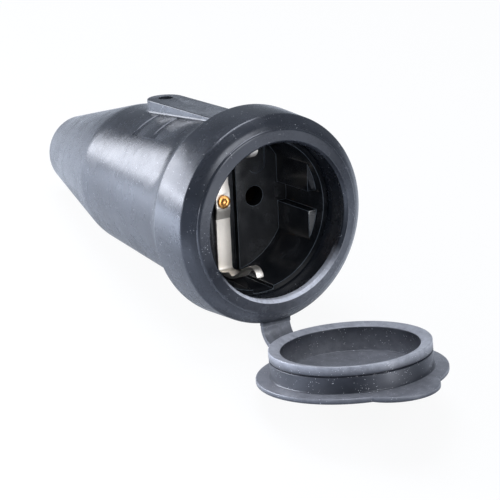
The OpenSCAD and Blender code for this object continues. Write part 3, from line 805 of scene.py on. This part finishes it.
def housing_outline():
    """Half section of the housing, outside and inside, with the rounding of each corner."""
    s = sizes("socket_housing")
    knee = s.seat_setback + s.seat_step + s.knee_back
    lip_end = s.lip_lead + s.lip_length
    outside = [
        (s.mouth_radius, 0, ROUNDING["mouth"]),
        *seat_edge(),
        (s.seat_radius + s.knee_out, knee, ROUNDING["knee"]),
        (s.rim_radius, s.rim_setback, ROUNDING["rim"]),
        (s.collar_radius, s.collar_end, ROUNDING["collar"]),
        *shoulder(),
        (s.body_rear_radius, s.body_end, ROUNDING["cone"]),
        (s.tail_radius, s.tail_end, ROUNDING["tail"]),
    ]
    inside = [
        (s.entry_radius, s.tail_end, ROUNDING["entry"]),
        (s.entry_radius, s.tail_end - s.entry_length, 0),
        (s.cavity_radius, s.cavity_end, 0),
        (s.cavity_radius, s.insert_end, 0),
        (s.bore_radius, s.insert_end, 0),
        (s.bore_radius, s.insert_front, 0),
        (s.throat_radius, lip_end + THROAT_SLOPE, ROUNDING["throat"]),
        (s.lip_radius, lip_end, ROUNDING["lip"]),
        (s.lip_radius, s.lip_lead, ROUNDING["lip"]),
    ]
    return outside + inside


def tongue_ring(out, height, above_body):
    """One closed row of points round the tongue, pushed out from its plan, at a height."""
    s, t = sizes("socket_housing"), sizes("socket_tongue")
    half = t.width / 2 + out
    reach = t.screw_place - s.collar_end - TONGUE_START
    steps = range(TONGUE_STEPS)
    along = [s.collar_end + TONGUE_START + reach * i / TONGUE_STEPS for i in steps]
    tip = arc((0, t.screw_place), half, 0, 180, TONGUE_STEPS)
    ring = []
    for x, y in [(half, y) for y in along] + tip + [(-half, y) for y in along[::-1]]:
        skin = math.sqrt(outer_radius(y) ** 2 - x * x)
        ring.append((x, y, min(skin + height, t.top - t.edge) if above_body else height))
    return ring


def tongue():
    """The flat tongue that runs back from the collar, with a hollow rounding at its foot."""
    t = sizes("socket_tongue")
    rows = [(t.fillet, -TONGUE_ROOT, True)]
    turns = [math.pi / 2 * i / FILLET_STEPS for i in range(FILLET_STEPS + 1)]
    for turn in turns:
        height = t.fillet * (1 - math.cos(turn)) - t.sink
        rows.append((t.fillet * (1 - math.sin(turn)), height, True))
    for turn in turns:
        height = t.top - t.edge * (1 - math.sin(turn))
        rows.append((-t.edge * (1 - math.cos(turn)), height, False))
    return lofted([tongue_ring(*row) for row in rows])


def band(y, side):
    """A cutter for one shallow band beside the tongue."""
    t = sizes("socket_tongue")
    near, far = y - t.band_width / 2, y + t.band_width / 2
    rise = OVERSHOOT * t.band_slope / t.band_depth
    corners = [
        (body_radius(near) - t.band_depth, near + t.band_slope),
        (body_radius(near) + OVERSHOOT, near - rise),
        (body_radius(far) + OVERSHOOT, far + rise),
        (body_radius(far) - t.band_depth, far - t.band_slope),
    ]
    start = t.band_gap / body_radius(y)
    end = (t.band_gap + t.band_reach) / body_radius(y)
    across, up = side * math.sin(start), math.cos(start)
    bm, verts = wire([(r * across, place, r * up) for r, place in corners])
    face = bm.faces.new(verts)
    bmesh.ops.spin(
        bm, geom=[face], cent=(0, 0, 0), axis=(0, side, 0), dvec=(0, 0, 0), angle=end - start,
        steps=BAND_STEPS,
    )
    bmesh.ops.recalc_face_normals(bm, faces=bm.faces[:])
    return bm


def screw_hole():
    """A cutter for the screw hole in the tongue."""
    t = sizes("socket_tongue")
    middle = Matrix.Translation((0, t.screw_place, t.top - HOLE_DEPTH / 2 + OVERSHOOT))
    return cylinder(t.hole_radius, HOLE_DEPTH, HOLE_STEPS, middle)


def strap_pad():
    """The pad below the collar from which the strap hangs."""
    s, d = sizes("socket_housing"), sizes("socket_lid")
    half = d.strap_width / 2
    front, back = s.rim_setback, s.rim_setback + d.strap_thickness
    corners = [(-half, front), (half, front), (half, back), (-half, back)]
    outline = [(x, y, -s.collar_radius) for x, y in corners]
    return plate(outline, s.collar_radius - s.seat_radius, (0, 0, 1))


def fade(value, low, high):
    """Rises from zero to one between two values."""
    return min(max((value - low) / (high - low), 0), 1)


def lit_and_worn_stretch(turn, start, full, full_until, end):
    """One along a stretch of the mouth, fading to zero at its ends."""
    return fade(turn, start, full) * (1 - fade(turn, full_until, end))


def mouth_wear_and_light(place):
    """How much wear and painted light the mouth gets: most low on the lip, where the lid's ring rubs and the light
    from above falls, less on its face; the strap pad gets painted light.
    """
    s = sizes("socket_housing")
    radius = math.hypot(place.x, place.z)
    turn = math.degrees(math.atan2(place.z, place.x))
    if place.z < EDGE - s.collar_radius and place.y < s.collar_end / 2:
        return STRAP_PAINTED_LIGHT
    if place.y > s.lip_lead + s.lip_length or radius < s.lip_radius - EDGE:
        return 0
    if radius < s.mouth_radius - EDGE:
        return lit_and_worn_stretch(turn, *LIP_WORN_AND_LIT)
    if radius < s.rim_radius + EDGE:
        return FACE_WEAR_AND_LIGHT * lit_and_worn_stretch(turn, *FACE_WORN_AND_LIT)
    return 0


class SOCKET_OT_housing(bpy.types.Operator):
    """Turn the rubber housing, join its tongue and strap pad, and cut its bands and screw hole"""

    bl_idname = "socket.housing"
    bl_label = "Housing"

    def execute(self, context):
        t = sizes("socket_tongue")
        skin = housing_rubber()
        shell = settle(turned(housing_outline(), HOUSING_STEPS), "rubber_housing", skin)
        combine(shell, settle(tongue(), "tongue", skin), "UNION")
        combine(shell, settle(strap_pad(), "pad", skin), "UNION")
        cuts = [screw_hole()]
        for side in (-1, 1):
            cuts += [band(t.band_place, side), band(t.band_place - t.band_step, side)]
        for number, cut in enumerate(cuts):
            combine(shell, settle(cut, "cut_%d" % number, skin), "DIFFERENCE")
        # The mouth's paler lip and face are wear and painted light; the strap pad's is painted light.
        wear_and_light(shell, mouth_wear_and_light)
        shell.data.transform(lie())
        smooth(shell, SMOOTH_RUBBER)
        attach(shell, "root")
        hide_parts("housing")
        return {"FINISHED"}


def ring_outline():
    """Half section of the closed lid's ring and cup floor, with the rounding of each corner."""
    d = sizes("socket_lid")
    end = d.ring_height - d.gap
    foot = end - d.bead_height
    sunk = -d.gap - d.flange_thickness / 2
    hollow = FILLET_MIDDLE_SHARE * d.foot_fillet
    groove = d.ring_radius - d.groove_depth
    return [
        (0, sunk, 0),
        (d.ring_radius + d.foot_fillet, sunk, 0),
        (d.ring_radius + d.foot_fillet, -d.gap, 0),
        (d.ring_radius + hollow, -d.gap + hollow, ROUNDING["ring_foot"]),
        (d.ring_radius, -d.gap + d.foot_fillet, 0),
        (d.ring_radius, foot - d.groove_width, ROUNDING["groove_side"]),
        (groove, foot - d.groove_width / 2, ROUNDING["groove"]),
        (d.ring_radius, foot, ROUNDING["groove_side"]),
        (d.ring_radius, end, ROUNDING["ring_end"]),
        (d.ring_bore, end - d.ring_dish, ROUNDING["ring_bore"]),
        (d.ring_bore, -d.gap - d.cup_recess, ROUNDING["ring_bore"]),
        (0, -d.gap - d.cup_recess, 0),
    ]


def flange_plan():
    """Outline of the flange with its finger tab and strap stub, across and up the closed lid."""
    d = sizes("socket_lid")
    middle = d.flange_radius + d.tab_reach - d.tab_radius
    up = (d.flange_radius ** 2 - d.tab_radius ** 2 + middle ** 2) / (2 * middle)
    out = math.sqrt(d.flange_radius ** 2 - up ** 2)
    tab_start = math.degrees(math.atan2(up - middle, out))
    round_start = math.degrees(math.atan2(up, out))
    half = d.strap_width / 2
    reach = d.flange_radius + d.stub_length
    stub_angle = math.degrees(math.asin(half / d.flange_radius))
    left = arc((0, 0), d.flange_radius, 180 - round_start, 270 - stub_angle, FLANGE_STEPS)
    right = arc((0, 0), d.flange_radius, 270 + stub_angle, 360 + round_start, FLANGE_STEPS)
    tab = arc((0, middle), d.tab_radius, tab_start, 180 - tab_start, TAB_STEPS)
    return tab[1:-1] + left + [(-half, -reach), (half, -reach)] + right


def ring_inside():
    """A cutter for the inside of the lid's ring."""
    d = sizes("socket_lid")
    middle = Matrix.Translation((0, -d.gap - d.cup_recess + d.ring_height / 2, 0))
    along_axis = Matrix.Rotation(math.pi / 2, 4, "X")
    return cylinder(d.ring_bore, d.ring_height, LID_STEPS, middle @ along_axis)


def lid_wear_and_light(place):
    """How much wear and painted light the closed lid gets: most on its ring's end face, which faces up once the
    lid is open, less on the flange's inner face.
    """
    d = sizes("socket_lid")
    bead_foot = d.ring_height - d.gap - d.bead_height
    if place.y < -d.gap - d.flange_thickness / 2:
        return LID_BACK_WEAR_AND_LIGHT
    if place.y < -d.gap + EDGE:
        return FLANGE_WEAR_AND_LIGHT
    if place.y < bead_foot - EDGE or math.hypot(place.x, place.z) < d.ring_bore + EDGE:
        return 0
    return RING_END_WEAR_AND_LIGHT if place.y > d.ring_height - d.gap - d.ring_dish else BEAD_WEAR_AND_LIGHT


class SOCKET_OT_lid(bpy.types.Operator):
    """Push out the lid's flange with its finger tab and strap stub, and turn its ring"""

    bl_idname = "socket.lid"
    bl_label = "Lid"

    def execute(self, context):
        d = sizes("socket_lid")
        skin = lid_rubber()
        flange = plate([(x, -d.gap, z) for x, z in flange_plan()], d.flange_thickness, (0, -1, 0))
        soften(flange, ROUNDING["flange"])
        lid = settle(flange, "rubber_lid", skin)
        combine(lid, settle(ring_inside(), "bore", skin), "DIFFERENCE")
        combine(lid, settle(turned(ring_outline(), LID_STEPS), "ring", skin), "UNION")
        # The lid's paler end face and flange are wear and painted light from above.
        wear_and_light(lid, lid_wear_and_light)
        lid.data.transform(lid_place())
        smooth(lid, SMOOTH_RUBBER)
        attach(lid, "lid")
        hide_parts("lid")
        return {"FINISHED"}


def strap_sections():
    """Rows of four corners along the strap, and the places where it starts and ends."""
    s, d = sizes("socket_housing"), sizes("socket_lid")
    hinge = lie().inverted() @ Vector(LID_JOINT["pos_m"])
    swing = Matrix.Rotation(LID_OPEN, 4, "X")
    stub = Vector((0, -d.gap - d.flange_thickness / 2, -(d.flange_radius + d.stub_length)))
    start = Vector((0, s.rim_setback + d.strap_thickness / 2, -s.collar_radius))
    end = hinge + swing @ (stub - hinge)
    near = start + Vector((0, 0, -d.strap_pull))
    far = end + swing @ Vector((0, 0, -d.strap_pull))
    half = Vector((d.strap_width / 2, 0, 0))
    rows = []
    for i in range(STRAP_STEPS + 1):
        t = i / STRAP_STEPS
        u = 1 - t
        place = start * u ** 3 + near * 3 * t * u ** 2 + far * 3 * t ** 2 * u + end * t ** 3
        way = (near - start) * u ** 2 + (far - near) * 2 * t * u + (end - far) * t ** 2
        way.normalize()
        side = Vector((0, -way.z, way.y)) * d.strap_thickness / 2
        rows.append([
            place + half + side, place - half + side, place - half - side, place + half - side,
        ])
    return rows, start, end


class SOCKET_OT_strap(bpy.types.Operator):
    """Sweep the short strap between the collar and the lid"""

    bl_idname = "socket.strap"
    bl_label = "Strap"

    def execute(self, context):
        rows, start, end = strap_sections()
        bm = lofted(rows)
        soften(bm, ROUNDING["strap"])
        place = lie()
        strap = settle(bm, "rubber_strap", lid_rubber(), place)
        smooth(strap, SMOOTH_STRAP)
        # The strap is painted paler all over as painted light.
        wear_and_light(strap, lambda p: STRAP_PAINTED_LIGHT)
        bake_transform(strap)
        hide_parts("lid_strap")
        return {"FINISHED"}


class SOCKET_OT_insert(bpy.types.Operator):
    """Round the insert's edges, give it its black gloss and paint a highlight on its rounded edges"""

    bl_idname = "socket.insert"
    bl_label = "Insert"

    def execute(self, context):
        black = insert_thermoset()
        piece = stand_in(
            "contact_carrier", black, ROUNDING["insert"], INSERT_EDGE_STEPS, edges=insert_edge_highlights()
        )
        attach(piece, "root")
        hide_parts("contact_carrier")
        dress_nodes(("terminal_base", "terminal_cover", "clamp_saddle"), black)
        return {"FINISHED"}


class SOCKET_OT_metal(bpy.types.Operator):
    """Finish the earth strip, the screws and the contacts"""

    bl_idname = "socket.metal"
    bl_label = "Metal pieces"

    def execute(self, context):
        strip = stand_in(
            "earth_bridge", nickel(), ROUNDING["strip"], STRIP_EDGE_STEPS, plain_faces=False
        )
        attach(strip, "root")
        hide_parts("earth_bridge")
        gold = brass()
        screw = stand_in("earth_screw", gold, ROUNDING["screw"], SCREW_EDGE_STEPS)
        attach(screw, "root")
        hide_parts("earth_screw")
        dress_nodes(BRASS_NODES, gold)
        dress_nodes(BRONZE_NODES, pin_hole_shade())
        dress_nodes(ZINC_NODES, zinc())
        return {"FINISHED"}


def toward(azimuth, elevation, distance):
    """A place seen from the object's middle: azimuth from the front, positive to the right."""
    turn, rise = math.radians(azimuth), math.radians(elevation)
    flat = math.cos(rise)
    way = Vector((math.sin(turn) * flat, -math.cos(turn) * flat, math.sin(rise)))
    return LIT_PLACE + way * distance


def softbox(name, place, target, size, radiance, tint):
    """A soft rectangular light of a given brightness."""
    data = bpy.data.lights.new(name, "AREA")
    data.shape = "RECTANGLE"
    data.size, data.size_y = size
    data.energy = radiance * math.pi * size[0] * size[1]
    data.color = tint
    light = bpy.data.objects.new(name, data)
    bpy.context.scene.collection.objects.link(light)
    light.visible_camera = False
    light.location = place
    light.rotation_mode = "QUATERNION"
    light.rotation_quaternion = (target - place).to_track_quat("-Z", "Y")


def backdrop_rays(tree, seen):
    """The share of plain white that a ray finds: all of it for the camera, some in mirrors.

    Diffuse light finds none of it.
    """
    rays = tree.nodes.new("ShaderNodeLightPath")
    kinds = {
        "Is Camera Ray": seen,
        "Is Glossy Ray": WHITE_IN_MIRRORS,
        "Is Transmission Ray": WHITE_IN_MIRRORS,
    }
    total = None
    for kind, share in kinds.items():
        part = tree.nodes.new("ShaderNodeMath")
        part.operation = "MULTIPLY_ADD"
        tree.links.new(rays.outputs[kind], part.inputs[0])
        part.inputs[1].default_value = share
        part.inputs[2].default_value = 0
        part.use_clamp = True
        if total:
            tree.links.new(total, part.inputs[2])
        total = part.outputs["Value"]
    return total


def paper(base):
    """White floor paper that looks like the backdrop and keeps a faint shadow."""
    material = bpy.data.materials.new("paper")
    material.use_nodes = True
    tree = material.node_tree
    tree.nodes.clear()
    out = tree.nodes.new("ShaderNodeOutputMaterial")
    mix = tree.nodes.new("ShaderNodeMixShader")
    white = tree.nodes.new("ShaderNodeEmission")
    flat = tree.nodes.new("ShaderNodeBsdfDiffuse")
    flat.inputs["Color"].default_value = (*base, 1)
    tree.links.new(backdrop_rays(tree, FLOOR_SEEN), mix.inputs["Fac"])
    tree.links.new(flat.outputs["BSDF"], mix.inputs[1])
    tree.links.new(white.outputs["Emission"], mix.inputs[2])
    tree.links.new(mix.outputs["Shader"], out.inputs["Surface"])
    return material


def studio(scene):
    """A white surround for the camera, with a weaker bluish fill for diffuse light."""
    world = scene.world or bpy.data.worlds.new("studio")
    scene.world = world
    world.use_nodes = True
    tree = world.node_tree
    tree.nodes.clear()
    fill = tree.nodes.new("ShaderNodeBackground")
    fill.inputs["Color"].default_value = FILL_COLOUR
    fill.inputs["Strength"].default_value = FILL_STRENGTH
    white = tree.nodes.new("ShaderNodeBackground")
    mix = tree.nodes.new("ShaderNodeMixShader")
    out = tree.nodes.new("ShaderNodeOutputWorld")
    tree.links.new(backdrop_rays(tree, SURROUND_SEEN), mix.inputs["Fac"])
    tree.links.new(fill.outputs["Background"], mix.inputs[1])
    tree.links.new(white.outputs["Background"], mix.inputs[2])
    tree.links.new(mix.outputs["Shader"], out.inputs["Surface"])


def make_camera(scene):
    """A camera at the photograph's place."""
    data = bpy.data.cameras.new("camera")
    data.sensor_width = SENSOR_MM
    data.lens = FOCAL_PIXELS * SENSOR_MM / IMAGE_PIXELS
    data.clip_start, data.clip_end = NEAR_CLIP, FAR_CLIP
    camera = bpy.data.objects.new("camera", data)
    scene.collection.objects.link(camera)
    right = CAMERA_RIGHT.normalized()
    back = right.cross(CAMERA_UP).normalized()
    up = back.cross(right)
    turn = Matrix((right, up, back)).transposed().to_4x4()
    camera.matrix_world = lie() @ Matrix.Translation(CAMERA_PLACE) @ turn
    scene.camera = camera


class SOCKET_OT_stage(bpy.types.Operator):
    """Set the floor, the lights, the world and the camera"""

    bl_idname = "socket.stage"
    bl_label = "Stage"

    def execute(self, context):
        scene = context.scene
        bm = bmesh.new()
        level = Matrix.Translation((0, 0, CAD_BOX[0].z - FLOOR_GAP))
        bmesh.ops.create_grid(bm, x_segments=1, y_segments=1, size=FLOOR_HALF, matrix=level)
        settle(bm, "floor", paper(sizes("socket_colours").paper))
        studio(scene)
        for name, (azimuth, elevation, distance, size, radiance, tint) in SOFTBOXES.items():
            place = toward(azimuth, elevation, distance)
            softbox(name, place, LIT_PLACE, size, radiance, tint)
        for name, (place, size, radiance) in FLOOR_LAMPS.items():
            softbox(name, place, place + DOWN, size, radiance, COOL)
        make_camera(scene)
        scene.view_settings.view_transform = "Standard"
        return {"FINISHED"}


class SOCKET_PT_panel(bpy.types.Panel):
    """Lists the pieces in the order that they are made"""

    bl_idname = "SOCKET_PT_panel"
    bl_label = "Inline socket"
    bl_space_type = "VIEW_3D"
    bl_region_type = "UI"
    bl_category = "Socket"

    def draw(self, context):
        for operator in OPERATORS:
            self.layout.operator(operator.bl_idname)


GROUPS = {
    "socket_housing": SocketHousingSizes,
    "socket_tongue": SocketTongueSizes,
    "socket_lid": SocketLidSizes,
    "socket_colours": SocketColours,
}
OPERATORS = (
    SOCKET_OT_housing, SOCKET_OT_lid, SOCKET_OT_strap, SOCKET_OT_insert, SOCKET_OT_metal,
    SOCKET_OT_stage,
)


def register():
    for cls in (*GROUPS.values(), *OPERATORS, SOCKET_PT_panel):
        bpy.utils.register_class(cls)
    for name, group in GROUPS.items():
        setattr(bpy.types.Scene, name, bpy.props.PointerProperty(type=group))


def unregister():
    for name in GROUPS:
        delattr(bpy.types.Scene, name)
    for cls in (SOCKET_PT_panel, *reversed(OPERATORS), *reversed(GROUPS.values())):
        bpy.utils.unregister_class(cls)


def main():
    register()
    bpy.ops.socket.housing()
    bpy.ops.socket.lid()
    bpy.ops.socket.strap()
    bpy.ops.socket.insert()
    bpy.ops.socket.metal()
    bpy.ops.socket.stage()


if __name__ == "__main__":
    main()
